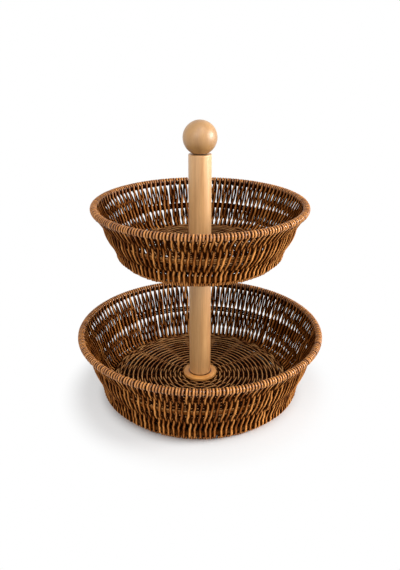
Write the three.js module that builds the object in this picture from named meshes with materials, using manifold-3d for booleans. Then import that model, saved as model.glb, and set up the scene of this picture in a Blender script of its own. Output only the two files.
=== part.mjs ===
// Two-tier serving basket: two flared wicker baskets clamped on a turned wooden pole with a ball finial.
// Millimetres, +Z up. The origin is the centre of the lower basket's bottom edge, on the table.

import * as THREE from 'three';
import { mergeVertices } from 'three/addons/utils/BufferGeometryUtils.js';
import Module from 'manifold-3d';

const wasm = await Module();
wasm.setup();

// Clearances
const FIT = 0.3; // between pieces that are woven, pushed or seated together
const RODS_APART = 0.2; // between neighbouring middle rods

// Wicker sizes shared by both baskets
const STRAND = 2.8; // thickness of one wall strand
const STRAND_GROOVE = 1.9; // depth of the grooves between the outer strands, at the middle rods and the rim
const HOOP_GROOVE = 1.6; // and at the base hoop
const RIM_CORE_RADIUS = 2.5;
const RIM_WRAP = 1.35; // thickness of the strand wound round the rim core
const WRAP_SLIT_DEG = 30; // the wrap is open along the underside of the rim
const RIM_SPREAD = 0.9; // half gap between the strand layers just below the rim
const HUG_STEP = 0.25; // strands follow a rod for longer in steps of this length
const MIDDLE_ROD_RADIUS = 1.15;
const MIDDLE_RODS = 3;
const BASE_HOOP_RADIUS = 4;
const HOOP_DROP = 6.5; // base hoop's centre below the top of the floor
const FLOOR_THICKNESS = 7;
const FLOOR_BORDER = 9; // width of the twisted band round the floor
const SPOKE_BARS = 8; // sticks laid across the floor, two spokes each
const SPOKE_WIDTH = 3.4;
const SPOKE_THICKNESS = 2.6;

// The baskets. Strands are counted in one layer. Heights are from each basket's own bottom edge, radii
// are to the middle of the wall.
const LOWER = {
  name: 'lower',
  strands: 132,
  footRadius: 118.9,
  hoopRadius: 123.1,
  lowCross: { radius: 132.4, height: 33 },
  middle: { radius: 138.4, height: 50 },
  highCross: { radius: 144.2, height: 66.8 },
  rim: { radius: 153.5, height: 86.4 },
  floorHeight: 18.8,
};
const UPPER = {
  name: 'upper',
  strands: 110,
  footRadius: 93.4,
  hoopRadius: 97.2,
  lowCross: { radius: 106.2, height: 22.8 },
  middle: { radius: 112.8, height: 36.6 },
  highCross: { radius: 118.6, height: 50.6 },
  rim: { radius: 128.2, height: 68.4 },
  floorHeight: 17.1,
};

// Pole, discs and ball
const POLE_RADIUS = 14;
const LOWER_POLE_LENGTH = 167.6;
const UPPER_POLE_LENGTH = 108.4;
const POLE_BEVEL = 0.8;
const DISC_RADIUS = 22;
const DISC_THICKNESS = 4;
const BALL_RADIUS = 20.5;
const BALL_SEAT_RADIUS = 10; // flat under the ball

// Metal hardware
const STUD_RADIUS = 3;
const INSERT_WALL = 2;
const INSERT_LENGTH = 12;
const INSERT_SINK = 0.2; // insert's mouth below the wood
const BORE_END = 1.5; // wood bore beyond the insert
const STUD_REACH = 10; // length of thread held in each insert
const SCREW_HEAD_RADIUS = 7;
const SCREW_HEAD_HEIGHT = 3;
const STEEL_WASHER_RADIUS = 9;
const STEEL_WASHER_THICKNESS = 1.2;
const FINIAL_WASHER_RADIUS = 9;
const FINIAL_WASHER_THICKNESS = 0.8;

// Facets
const RING_SIDES = 32;
const WOOD_SIDES = 24;
const METAL_SIDES = 12;
const CORE_SIDES = 6;
const HOOP_SIDES = 8;
const ROD_SIDES = 6;
const WRAP_OUTER_STEPS = 8;
const WRAP_INNER_STEPS = 6;
const BALL_STEPS = 10;

// Materials
const strandLook = { color: 0x7c4a2a, roughness: 0.55, metalness: 0 };
const rodLook = { color: 0x5c3420, roughness: 0.6, metalness: 0 };
const rimLook = { color: 0xa0693a, roughness: 0.45, metalness: 0 };
const floorLook = { color: 0x744628, roughness: 0.6, metalness: 0 };
const woodLook = { color: 0xc99a66, roughness: 0.5, metalness: 0 };
const brassLook = { color: 0xb5934a, roughness: 0.35, metalness: 1 };
const steelLook = { color: 0xa9abad, roughness: 0.3, metalness: 1 };
const fibreLook = { color: 0x4a3a2c, roughness: 0.9, metalness: 0 };

const basketStand = new THREE.Group();

function addMesh(name, geometry, look, z = 0) {
  const mesh = new THREE.Mesh(geometry, new THREE.MeshStandardMaterial(look));
  mesh.name = name;
  mesh.position.z = z;
  basketStand.add(mesh);
}

// Solid of revolution about Z. The profile is a list of Vector2(radius, height), anticlockwise.
// A profile that doesn't begin and end on the axis is closed on itself.
function turned(profile, sides) {
  const onAxis = profile[0].x === 0 && profile.at(-1).x === 0;
  const points = onAxis ? profile : [...profile, profile[0].clone()];
  const geometry = new THREE.LatheGeometry(points, sides);
  geometry.rotateX(Math.PI / 2);
  return geometry;
}

function flatRing(innerRadius, outerRadius, bottom, top, sides) {
  const corners = [
    new THREE.Vector2(innerRadius, bottom),
    new THREE.Vector2(outerRadius, bottom),
    new THREE.Vector2(outerRadius, top),
    new THREE.Vector2(innerRadius, top),
  ];
  return turned(corners, sides);
}

// Shell with upright ribs on its outer face. Ridge and groove lines run up this face by turns, and
// the plain back has RING_SIDES sides. All three lines run from the foot up and have as many points.
function ribbedShell(ridgeLine, grooveLine, backLine, ribs) {
  const positions = [];
  const index = [];
  const addColumns = (count, lineOf) =>
    Array.from({ length: count }, (_, i) => {
      const angle = (i / count) * Math.PI * 2;
      const firstPoint = positions.length / 3;
      for (const { x, y } of lineOf(i)) {
        positions.push(x * Math.sin(angle), -x * Math.cos(angle), y);
      }
      return firstPoint;
    });
  const face = addColumns(2 * ribs, (i) => (i % 2 === 0 ? ridgeLine : grooveLine));
  const back = addColumns(RING_SIDES, () => backLine);

  const addSide = (columns, facesOut) => {
    columns.forEach((column, i) => {
      const next = columns[(i + 1) % columns.length];
      const [a, b] = facesOut ? [column, next] : [next, column];
      for (let row = 0; row < backLine.length - 1; row++) {
        index.push(a + row, b + row, b + row + 1, a + row, b + row + 1, a + row + 1);
      }
    });
  };
  // The edge between face and back: a triangle for each step round, along whichever of the two lags
  const addEdge = (row, facesUp) => {
    let i = 0;
    let j = 0;
    while (i < face.length || j < back.length) {
      const [facePoint, backPoint] = [face[i % face.length] + row, back[j % back.length] + row];
      const faceLags = (i + 1) / face.length <= (j + 1) / back.length;
      i += faceLags ? 1 : 0;
      j += faceLags ? 0 : 1;
      const reached = faceLags ? face[i % face.length] + row : back[j % back.length] + row;
      index.push(...(facesUp ? [facePoint, reached, backPoint] : [backPoint, reached, facePoint]));
    }
  };
  addSide(face, true);
  addSide(back, false);
  addEdge(0, false);
  addEdge(backLine.length - 1, true);

  const geometry = new THREE.BufferGeometry();
  geometry.setAttribute('position', new THREE.Float32BufferAttribute(positions, 3));
  geometry.setIndex(index);
  geometry.computeVertexNormals();
  return geometry;
}

// Ring bent from a round rod, its section centred on a point of the wall.
function rodRing(centre, rodRadius, sectionSides) {
  const section = [];
  for (let i = 0; i < sectionSides; i++) {
    const angle = (i / sectionSides) * Math.PI * 2;
    section.push(polar(centre, rodRadius, angle));
  }
  return turned(section, RING_SIDES);
}

function polar(centre, radius, angle) {
  return new THREE.Vector2(centre.x + radius * Math.cos(angle), centre.y + radius * Math.sin(angle));
}

// Booleans
function toManifold(geometry) {
  const bare = geometry.index ? geometry.clone() : geometry;
  bare.deleteAttribute('normal');
  bare.deleteAttribute('uv');
  const merged = mergeVertices(bare);
  return new wasm.Manifold(
    new wasm.Mesh({
      numProp: 3,
      vertProperties: merged.attributes.position.array,
      triVerts: new Uint32Array(merged.index.array),
    }),
  );
}

function toGeometry(manifold) {
  const { vertProperties, triVerts } = manifold.getMesh();
  const geometry = new THREE.BufferGeometry();
  geometry.setAttribute('position', new THREE.BufferAttribute(vertProperties, 3));
  geometry.setIndex(new THREE.BufferAttribute(triVerts, 1));
  geometry.computeVertexNormals();
  return geometry;
}

// Wall of a basket, in section. Each station is a point on the middle of the wall with its tangent,
// the half gap between the outer and inner strands there, the half length that keeps this gap, the
// thickness of each layer and the depth of the grooves. Where the strands cross, those of the two
// layers lie side by side in the thickness of one.
function wallStations(tier) {
  const rimRadius = RIM_CORE_RADIUS + FIT + RIM_WRAP;
  const rim = new THREE.Vector2(tier.rim.radius, tier.rim.height);
  const highCross = new THREE.Vector2(tier.highCross.radius, tier.highCross.height);
  const upWall = rim.clone().sub(highCross).normalize();
  const top = rim.clone().addScaledVector(upWall, -(rimRadius + FIT));
  const points = [
    new THREE.Vector2(tier.footRadius, 0),
    hoopCentre(tier),
    new THREE.Vector2(tier.lowCross.radius, tier.lowCross.height),
    new THREE.Vector2(tier.middle.radius, tier.middle.height),
    highCross,
    top,
  ];
  const crossing = { gap: FIT / 2, hold: 0, thickness: (STRAND - FIT) / 2, groove: 0 };
  const atHoop = { gap: BASE_HOOP_RADIUS + FIT, hold: BASE_HOOP_RADIUS / 2, groove: HOOP_GROOVE };
  const atRods = { gap: MIDDLE_ROD_RADIUS + FIT, hold: middleBand() / 2, groove: STRAND_GROOVE };
  const spacing = [
    { gap: FIT / 2, hold: 0, thickness: STRAND, groove: 0 },
    { ...atHoop, thickness: STRAND },
    crossing,
    { ...atRods, thickness: STRAND },
    crossing,
    { gap: RIM_SPREAD, hold: 0, thickness: STRAND, groove: STRAND_GROOVE },
  ];
  return points.map((point, i) => {
    const before = points[Math.max(i - 1, 0)];
    const after = points[Math.min(i + 1, points.length - 1)];
    const tangent = i === 0 ? new THREE.Vector2(0, 1) : after.clone().sub(before).normalize();
    const { gap, hold } = spacing[i];
    if (hold === 0) {
      return { point, tangent, ...spacing[i] };
    }
    const fullHold = holdPastRod(point, tangent, gap, hold, [before, after]);
    return { point, tangent, ...spacing[i], hold: fullHold };
  });
}

// The strands run along a rod for a least half length and then lean over to the next crossing.
// Where that crossing lies far to one side, they follow the rod for longer, until they clear it.
function holdPastRod(point, tangent, gap, leastHold, [before, after]) {
  const normal = new THREE.Vector2(tangent.y, -tangent.x);
  const clears = (crossing, way, side, hold) => {
    const away = crossing.clone().sub(point);
    const target = new THREE.Vector2(away.dot(normal), away.dot(tangent));
    const corner = new THREE.Vector2(side * gap, way * hold);
    const lean = target.sub(corner).normalize();
    return Math.abs(corner.cross(lean)) >= gap;
  };
  const clearsAll = (hold) =>
    [-1, 1].every((side) => clears(before, -1, side, hold) && clears(after, 1, side, hold));
  let hold = leastHold;
  while (hold < gap && !clearsAll(hold)) {
    hold += HUG_STEP;
  }
  return hold;
}

function hoopCentre(tier) {
  return new THREE.Vector2(tier.hoopRadius, tier.floorHeight - HOOP_DROP);
}

function middleBand() {
  return MIDDLE_RODS * 2 * MIDDLE_ROD_RADIUS + (MIDDLE_RODS - 1) * RODS_APART;
}

// Line that runs up the outer (side 1) or inner (side -1) layer of the wall, as far from the layer's
// back as depthAt gives for each station.
function wallLine(stations, side, depthAt) {
  const line = [];
  for (const station of stations) {
    const { point, tangent, gap, hold } = station;
    const out = new THREE.Vector2(tangent.y, -tangent.x).multiplyScalar(side * (gap + depthAt(station)));
    const ends = hold > 0 ? [-hold, hold] : [0];
    for (const along of ends) {
      line.push(point.clone().addScaledVector(tangent, along).add(out));
    }
  }
  return line;
}

// Radius of such a line at a height
function radiusAt(line, height) {
  for (let i = 1; i < line.length; i++) {
    const [a, b] = [line[i - 1], line[i]];
    if (height <= b.y) {
      return a.x + ((b.x - a.x) * (height - a.y)) / (b.y - a.y);
    }
  }
  return line.at(-1).x;
}

function leastRadius(line, bottom, top) {
  const corners = line.filter(({ y }) => y > bottom && y < top).map(({ x }) => x);
  return Math.min(radiusAt(line, bottom), radiusAt(line, top), ...corners);
}

function addWall(tier, z) {
  const stations = wallStations(tier);
  const back = () => 0;
  const face = ({ thickness }) => thickness;
  const grooveFloor = ({ thickness, groove }) => thickness - groove;
  const outerRidge = wallLine(stations, 1, face);
  const outerGroove = wallLine(stations, 1, grooveFloor);
  const outerStrands = ribbedShell(outerRidge, outerGroove, wallLine(stations, 1, back), tier.strands);
  const innerBack = wallLine(stations, -1, back);
  const innerFace = wallLine(stations, -1, face);
  const innerStrands = turned([...innerBack, ...innerFace.toReversed()], RING_SIDES);
  addMesh(`${tier.name}_outer_strands`, outerStrands, strandLook, z);
  addMesh(`${tier.name}_inner_strands`, innerStrands, strandLook, z);

  const middle = stations[3];
  const pitch = 2 * MIDDLE_ROD_RADIUS + RODS_APART;
  for (let i = 0; i < MIDDLE_RODS; i++) {
    const along = (i - (MIDDLE_RODS - 1) / 2) * pitch;
    const centre = middle.point.clone().addScaledVector(middle.tangent, along);
    addMesh(`${tier.name}_middle_rod_${i + 1}`, rodRing(centre, MIDDLE_ROD_RADIUS, ROD_SIDES), rodLook, z);
  }
  addMesh(`${tier.name}_base_hoop`, rodRing(hoopCentre(tier), BASE_HOOP_RADIUS, HOOP_SIDES), rodLook, z);
  return innerFace;
}

// Rim: a bent core with a strand wound round it. The winding is open along its underside,
// where the wall strands come up to it.
function addRim(tier, z) {
  const centre = new THREE.Vector2(tier.rim.radius, tier.rim.height);
  addMesh(`${tier.name}_rim_core`, rodRing(centre, RIM_CORE_RADIUS, CORE_SIDES), rodLook, z);

  const down = Math.atan2(tier.highCross.height - tier.rim.height, tier.highCross.radius - tier.rim.radius);
  const halfSlit = THREE.MathUtils.degToRad(WRAP_SLIT_DEG / 2);
  const start = down + halfSlit;
  const sweep = 2 * (Math.PI - halfSlit);
  const innerStep = sweep / WRAP_INNER_STEPS;
  const innerRadius = (RIM_CORE_RADIUS + FIT) / Math.cos(innerStep / 2);
  const outerStep = sweep / WRAP_OUTER_STEPS;
  const outerRadius = (RIM_CORE_RADIUS + FIT + RIM_WRAP) / Math.cos(outerStep / 4);
  const section = [];
  for (let i = 0; i <= WRAP_OUTER_STEPS; i++) {
    section.push(polar(centre, outerRadius, start + i * outerStep));
  }
  for (let i = WRAP_INNER_STEPS; i >= 0; i--) {
    section.push(polar(centre, innerRadius, start + i * innerStep));
  }
  addMesh(`${tier.name}_rim_wrap`, turned(section, RING_SIDES), rimLook, z);
}

// Star of sticks laid across each other
function spokeStar(radius, width, thickness, middleHeight) {
  let star = null;
  for (let i = 0; i < SPOKE_BARS; i++) {
    const bar = new THREE.BoxGeometry(2 * radius, width, thickness);
    bar.rotateZ((i * Math.PI) / SPOKE_BARS);
    bar.translate(0, 0, middleHeight);
    star = star ? star.add(toManifold(bar)) : toManifold(bar);
  }
  return star;
}

// Upright bore through the middle of the floor, for the stud
function studBore(radius, middleHeight) {
  const bore = new THREE.CylinderGeometry(radius, radius, FLOOR_THICKNESS, METAL_SIDES);
  bore.rotateX(Math.PI / 2);
  bore.translate(0, 0, middleHeight);
  return bore;
}

// Woven floor: spokes run out through the weave and the twisted border to the wall's inner strands.
function addFloor(tier, z, innerFace) {
  const top = tier.floorHeight;
  const bottom = top - FLOOR_THICKNESS;
  const middle = (top + bottom) / 2;
  const edge = leastRadius(innerFace, bottom, top) - FIT;
  const weaveEdge = edge - FLOOR_BORDER;
  const bore = STUD_RADIUS + FIT;
  const reach = edge * Math.cos(Math.PI / RING_SIDES);
  const star = spokeStar(reach, SPOKE_WIDTH, SPOKE_THICKNESS, middle);
  const spokes = star.subtract(toManifold(studBore(bore, middle)));
  const room = spokeStar(edge + FIT, SPOKE_WIDTH + 2 * FIT, SPOKE_THICKNESS + 2 * FIT, middle);
  const weave = toManifold(flatRing(bore, weaveEdge, bottom, top, RING_SIDES)).subtract(room);
  const border = toManifold(flatRing(weaveEdge + FIT, edge, bottom, top, RING_SIDES)).subtract(room);
  addMesh(`${tier.name}_floor_spokes`, toGeometry(spokes), rodLook, z);
  addMesh(`${tier.name}_floor_weave`, toGeometry(weave), floorLook, z);
  addMesh(`${tier.name}_floor_border`, toGeometry(border), floorLook, z);
}

// Wooden discs that clamp the floor from above and below
function addDiscs(tier, z) {
  const bore = STUD_RADIUS + FIT;
  const upperFace = z + tier.floorHeight;
  const lowerFace = upperFace - FLOOR_THICKNESS;
  const disc = () => flatRing(bore, DISC_RADIUS, 0, DISC_THICKNESS, WOOD_SIDES);
  addMesh(`${tier.name}_floor_disc`, disc(), woodLook, upperFace + FIT);
  addMesh(`${tier.name}_under_disc`, disc(), woodLook, lowerFace - FIT - DISC_THICKNESS);
}

// Pole with bevelled ends and a blind bore in each for the threaded insert
function poleGeometry(length) {
  const boreRadius = STUD_RADIUS + FIT + INSERT_WALL + FIT;
  const boreDepth = INSERT_SINK + INSERT_LENGTH + BORE_END;
  const profile = [
    [0, boreDepth],
    [boreRadius, boreDepth],
    [boreRadius, 0],
    [POLE_RADIUS - POLE_BEVEL, 0],
    [POLE_RADIUS, POLE_BEVEL],
    [POLE_RADIUS, length - POLE_BEVEL],
    [POLE_RADIUS - POLE_BEVEL, length],
    [boreRadius, length],
    [boreRadius, length - boreDepth],
    [0, length - boreDepth],
  ];
  return turned(profile.map(([radius, height]) => new THREE.Vector2(radius, height)), WOOD_SIDES);
}

function addInsert(name, bottom) {
  const bore = STUD_RADIUS + FIT;
  addMesh(name, flatRing(bore, bore + INSERT_WALL, 0, INSERT_LENGTH, METAL_SIDES), brassLook, bottom);
}

function addPole(name, length, z) {
  addMesh(name, poleGeometry(length), woodLook, z);
  addInsert(`${name}_bottom_insert`, z + INSERT_SINK);
  addInsert(`${name}_top_insert`, z + length - INSERT_SINK - INSERT_LENGTH);
}

function addStud(name, bottom, top) {
  const stud = new THREE.CylinderGeometry(STUD_RADIUS, STUD_RADIUS, top - bottom, METAL_SIDES);
  stud.rotateX(Math.PI / 2);
  addMesh(name, stud, steelLook, (bottom + top) / 2);
}

// Ball with a flat seat and a blind bore, its seat at height 0
function ballGeometry() {
  const boreRadius = STUD_RADIUS + FIT + INSERT_WALL + FIT;
  const boreDepth = INSERT_SINK + INSERT_LENGTH + BORE_END;
  const centre = new THREE.Vector2(0, Math.sqrt(BALL_RADIUS ** 2 - BALL_SEAT_RADIUS ** 2));
  const seatAngle = Math.atan2(-centre.y, BALL_SEAT_RADIUS);
  const profile = [
    new THREE.Vector2(0, boreDepth),
    new THREE.Vector2(boreRadius, boreDepth),
    new THREE.Vector2(boreRadius, 0),
  ];
  for (let i = 0; i < BALL_STEPS; i++) {
    const angle = seatAngle + ((Math.PI / 2 - seatAngle) * i) / BALL_STEPS;
    profile.push(polar(centre, BALL_RADIUS, angle));
  }
  profile.push(new THREE.Vector2(0, centre.y + BALL_RADIUS));
  return turned(profile, WOOD_SIDES);
}

// Steel screw and washer that hold the lower basket to its pole from below
function addBaseScrew(underFace, poleBottom) {
  const bore = STUD_RADIUS + FIT;
  const washerBottom = underFace - FIT - STEEL_WASHER_THICKNESS;
  addMesh(
    'base_washer',
    flatRing(bore, STEEL_WASHER_RADIUS, 0, STEEL_WASHER_THICKNESS, METAL_SIDES),
    steelLook,
    washerBottom,
  );
  const headTop = washerBottom - FIT;
  const headBottom = headTop - SCREW_HEAD_HEIGHT;
  const profile = [
    [0, headBottom],
    [SCREW_HEAD_RADIUS, headBottom],
    [SCREW_HEAD_RADIUS, headTop],
    [STUD_RADIUS, headTop],
    [STUD_RADIUS, poleBottom + STUD_REACH],
    [0, poleBottom + STUD_REACH],
  ];
  const points = profile.map(([radius, height]) => new THREE.Vector2(radius, height));
  addMesh('base_screw', turned(points, METAL_SIDES), steelLook);
}

// Heights of the stack, from the table up
const lowerFloorTop = LOWER.floorHeight;
const lowerPoleBottom = lowerFloorTop + FIT + DISC_THICKNESS + FIT;
const lowerPoleTop = lowerPoleBottom + LOWER_POLE_LENGTH;
const upperFloorTop = lowerPoleTop + FIT + DISC_THICKNESS + FIT + FLOOR_THICKNESS;
const upperBase = upperFloorTop - UPPER.floorHeight;
const upperPoleBottom = upperFloorTop + FIT + DISC_THICKNESS + FIT;
const upperPoleTop = upperPoleBottom + UPPER_POLE_LENGTH;
const finialSeat = upperPoleTop + FIT + FINIAL_WASHER_THICKNESS + FIT;

for (const [tier, base] of [[LOWER, 0], [UPPER, upperBase]]) {
  const innerFace = addWall(tier, base);
  addRim(tier, base);
  addFloor(tier, base, innerFace);
  addDiscs(tier, base);
}

addPole('lower_pole', LOWER_POLE_LENGTH, lowerPoleBottom);
addPole('upper_pole', UPPER_POLE_LENGTH, upperPoleBottom);
addBaseScrew(lowerFloorTop - FLOOR_THICKNESS - FIT - DISC_THICKNESS, lowerPoleBottom);
addStud('tier_stud', lowerPoleTop - STUD_REACH, upperPoleBottom + STUD_REACH);
addStud('finial_stud', upperPoleTop - STUD_REACH, finialSeat + STUD_REACH);

addMesh(
  'finial_washer',
  flatRing(STUD_RADIUS + FIT, FINIAL_WASHER_RADIUS, 0, FINIAL_WASHER_THICKNESS, METAL_SIDES),
  fibreLook,
  upperPoleTop + FIT,
);
addMesh('finial_ball', ballGeometry(), woodLook, finialSeat);
addInsert('finial_insert', finialSeat + INSERT_SINK);

export default basketStand;
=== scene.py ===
"""Two-tier serving basket: woven walls, floors and rims, turned pole, discs and ball."""

import math
import random

import bmesh
import bpy
import numpy as np
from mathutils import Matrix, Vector

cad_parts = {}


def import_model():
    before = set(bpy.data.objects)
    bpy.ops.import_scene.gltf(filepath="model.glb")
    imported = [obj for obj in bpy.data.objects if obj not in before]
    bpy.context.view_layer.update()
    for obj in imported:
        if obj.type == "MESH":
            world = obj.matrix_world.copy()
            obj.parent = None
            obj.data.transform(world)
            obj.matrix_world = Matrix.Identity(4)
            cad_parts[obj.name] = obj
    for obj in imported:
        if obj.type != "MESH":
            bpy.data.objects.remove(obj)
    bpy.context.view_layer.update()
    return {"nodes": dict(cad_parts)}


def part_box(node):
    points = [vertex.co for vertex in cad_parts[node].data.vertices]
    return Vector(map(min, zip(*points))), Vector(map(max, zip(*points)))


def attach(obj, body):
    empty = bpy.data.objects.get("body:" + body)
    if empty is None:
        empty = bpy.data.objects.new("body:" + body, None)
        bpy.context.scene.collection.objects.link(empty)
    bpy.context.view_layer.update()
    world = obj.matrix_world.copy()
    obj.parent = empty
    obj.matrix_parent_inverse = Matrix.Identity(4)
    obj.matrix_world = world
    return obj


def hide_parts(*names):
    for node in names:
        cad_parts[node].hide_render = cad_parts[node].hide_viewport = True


MM = 0.001
FULL_TURN = 2 * math.pi
UP = np.array([0.0, 0.0, 1.0])

# Camera, in metres and radians. The frame of the picture is 400 by 570.
CAMERA_BACK = 0.7258
CAMERA_HEIGHT = 0.4559
CAMERA_TILT = 0.3681  # below the horizon
LENS_MM = 38.93
SHIFT_Y = -0.0364

# Rods of the baskets. Lengths are in millimetres.
STRAND_HALF_WIDTH = 1.9
STRAND_HALF_THICKNESS = 1.25
WRAP_HALF_WIDTH = 1.7
WRAP_HALF_THICKNESS = 1.3
RIM_CORE_RADIUS = 1.8
RIM_LOOP_RADIUS = RIM_CORE_RADIUS + WRAP_HALF_THICKNESS
BASE_HOOP_RADIUS = 3.1
MIDDLE_RODS = 3
MIDDLE_ROD_PITCH = 2.5
MIDDLE_ROD_HALF_WIDTH = 1.3
MIDDLE_ROD_HALF_THICKNESS = 0.5
WEAVER_HALF_THICKNESS = 1.22
WEAVER_BREADTH = 1.1  # a weaver's width over its thickness
BORDER_HALF_WIDTH = 1.45
BORDER_HALF_THICKNESS = 1.4
SPOKE_HALF_THICKNESS = 1.25
STRAND_SIZES = (0.93, 1.05)  # the thinnest and the thickest, as shares of the usual size
WRAP_WIDTHS = (0.94, 1.04)
WRAP_THICKNESSES = (0.94, 1.08)
WEAVER_SIZES = (0.94, 1.04)
STRAND_STEP = 2.6  # between two rings of a strand's mesh
LOOP_STEPS = 6  # rings of a strand's mesh over the rim
WINDING_STEPS = 16
HOOP_STEPS = 180

# Weave of the walls. Lengths are in millimetres.
FOOT_REACH = 1.3  # from the middle of the wall to each of its two layers, at the foot
ALIGNED_REACH = 1.8
CROSSING_REACH = 1.4
UNDER_RIM_REACH = 1.5
HOOP_CLEARANCE = 0.1
UNDER_RIM = 6.0  # this far below the rim the two layers have come together again
ALIGNED = 7.0  # the two legs of a pair are one behind the other this far above the hoop
TIP_LENGTH = 5.0  # the strands' ends lie side by side over this length of the foot
TIP_SCATTER = 1.2  # and end at heights that differ by up to this much
CROSSING_SCATTER = 0.6  # the strands cross at heights that differ by about this much
PLACE_SCATTER = 0.3
LEAN_SCATTER = 0.5
SWAY = 1.5  # neighbouring strands lean the same way by up to this much
DRIFT = 0.34  # sideways, in waves of DRIFT_LENGTH that die out over DRIFT_END below the rim
DRIFT_LENGTH = 48
DRIFT_END = 12
SWELL = 0.05  # share by which a strand is thicker and thinner, in waves of SWELL_LENGTH
SWELL_LENGTH = 23
SWELL_RIM_RADIUS = 3  # of the half circle by which the swell runs on over the rim
CROSSING_SQUEEZE = 0.16  # how much narrower the strands are where they cross
GAP_ENDS = (0.2, 0.97)  # where the gaps between the strands begin to narrow, and where they close
TURNED_SHARE = 0.04  # of the wall strands that cross the other way round
WINDING_LEAN = 0.3
WINDING_SCATTER = 0.12
WINDING_SKEW = 0.15
WINDING_HANG = 1.8  # the winding's lowest part is this much slacker

# Weave of the floors. Lengths are in millimetres.
FLOOR_THICKNESS = 7.0
FLOOR_BORDER = 9.0
FLOOR_HEART = 9.0  # radius of the first row of weavers
ROW_GAP = 1.2  # between the last row and the border
ROW_SPACING = 0.94  # 1 sets the rows evenly apart, and less sets them wider near the middle
SPOKES = 16
SPOKE_START = 4.5
SPOKE_END = 1.2  # past the floor's edge, between the wall's layers
SPOKE_FULL = 20.0  # the radius at which a spoke is widest
SPOKE_HALF_WIDTHS = (0.9, 1.7, 1.5)  # at its start, at SPOKE_FULL and at the floor's edge
WEAVER_ON_TOP = 0.45  # 0 for as long above the spokes as below, 1 for always above
WEAVER_LIFT = 0.3  # above the middle of the floor, about which it swings up and down
WEAVER_SWING = 1.75
WEAVER_FLATNESS = 0.7  # 1 for a plain wave, less for flatter tops
WEAVER_SHADE_TOP = 1.3  # painted shade: the weavers darken down from this lift, over the depth
WEAVER_SHADE_DEPTH = 1.5
BORDER_ROWS = 3
BORDER_TWIST = 38  # length of one turn of a border rope
BORDER_ROPE_REACH = 1.15  # of its two rods from its middle, sideways and up
BORDER_ROPE_RISE = 1.5

# Stain and painted shade, as shares of 1
SIDE_SHADE_AND_STAIN = 0.96  # stain and painted shade in the sides of a rod that don't show
LOW_SHADE = 0.99  # painted shade where the rod lies low in the weave
CROSSING_SHADE = 0.12  # painted shade where the strands of a wall pass each other
INSIDE_SHADE = 0.25  # painted shade on the inside of a basket
INSIDE_EDGE = 1.6  # how fast that sets in where a strand passes to the inside
DEEPEST = 0.975  # in the darkest places
BLOTCHES = 1.15  # how uneven it is, in slow blotches and in fine streaks
STREAKS = 0.55
RIDGE_HIGHLIGHT = 0.55  # painted highlight and shade: how much lighter the ridges of the rods are made, and darker their sides
STRAND_DARK_SIDES = (0.99, 0.5)  # where the stain and painted shade begin in a rod's side, and how softly
WINDING_DARK_SIDES = (1.0, 0.5)
WEAVER_DARK_SIDES = (0.99, 0.42)
MIDDLE_ROD_DARK_SIDES = (0.98, 0.5)
HIDDEN_DARK_SIDES = (0.75, 1.1)  # for the rods that hardly show
RIM_COLOUR_REACH = 9.0  # the strands turn honey brown this far below the rim, in millimetres
RIM_HONEY = 0.14  # how much lighter the willow is at the rim
TIP_HONEY = 0.8  # how much of that the strands' cut ends have
WALL_POLISH = 0.12  # share of the rim's lacquer that the wall has

# Pole, discs and ball. Lengths are in millimetres.
POLE_RADIUS = 14.0
POLE_TOP_ROUNDING = 0.8
POLE_FOOT_ROUNDING = 1.0
LOWER_POLE = (23.4, 191.0)
UPPER_POLE = (207.2, 315.6)
DISC_RADIUS = 22.0
DISC_HOLE_RADIUS = 3.3
DISC_THICKNESS = 4.0
DISC_SLOPE = 1.1
DISC_SLOPE_WIDTH = 2.2
DISC_CLEARANCE = 0.3
BALL_RADIUS = 20.5
BALL_SEAT_RADIUS = 10.0
BALL_BORE_RADIUS = 5.6
BALL_BORE_DEPTH = 14.0
FINIAL_SEAT = 317.0
TURNED_SIDES = 96
BALL_STEPS = 48
ROUNDING_STEPS = 6
BALL_SHADE = 7.5  # painted shade: the pole's top is darker inside this radius, under the ball
FOOT_SHADE = POLE_RADIUS + 0.7  # and, as painted shade, the disc's top inside this one, round the pole's foot
SEAM_REACH = 1.3  # painted shade: the wood is darker this near to where two turned pieces meet
SEAM_SHADE_TINT = (0.2, 0.13, 0.08)  # what the wood's colour is multiplied by there, for the painted shade

# Colours of the willow, and of the wood as pale wood, deep grain and pores
# the willow's dark stain, which the painted shade darkens towards as well
DARK_STAIN_AND_SHADE = (0.008, 0.001, 0.0001)
WARM_STAIN_AND_SHADE = (0.015, 0.0035, 0.0006)
BROWN = (0.28, 0.078, 0.011)
RIM_BROWN = (0.33, 0.105, 0.014)
TAN = (0.74, 0.36, 0.125)
AMBER = (0.95, 0.4, 0.105)
GOLDEN = (0.98, 0.39, 0.06)
POLE_COLOURS = ((0.86, 0.5, 0.2), (0.58, 0.27, 0.082), (0.38, 0.155, 0.042))
DISC_COLOURS = ((0.8, 0.36, 0.08), (0.68, 0.28, 0.055), (0.45, 0.17, 0.035))
BALL_COLOURS = ((0.52, 0.275, 0.088), (0.4, 0.195, 0.06), (0.28, 0.125, 0.038))

# Stage: brightness, and distances from the pole in metres
TABLE_PALE = 0.8
TABLE_SHADED = 0.03
UNDER_BASKET = 0.113  # painted shadow: the table's colour is dark up to here, under the basket
CONTACT_START = 0.117
CONTACT_END = 0.14
NEAR_GLOW = 0.5  # painted light: share of plain white glow in it from CONTACT_END on, which softens the shadow
FADE_START = 0.148  # from here it pales, and is plain white from FADE_END on
FADE_END = 0.19
SKY_LIGHT = 0.4  # strength of the white world as a lamp

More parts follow.
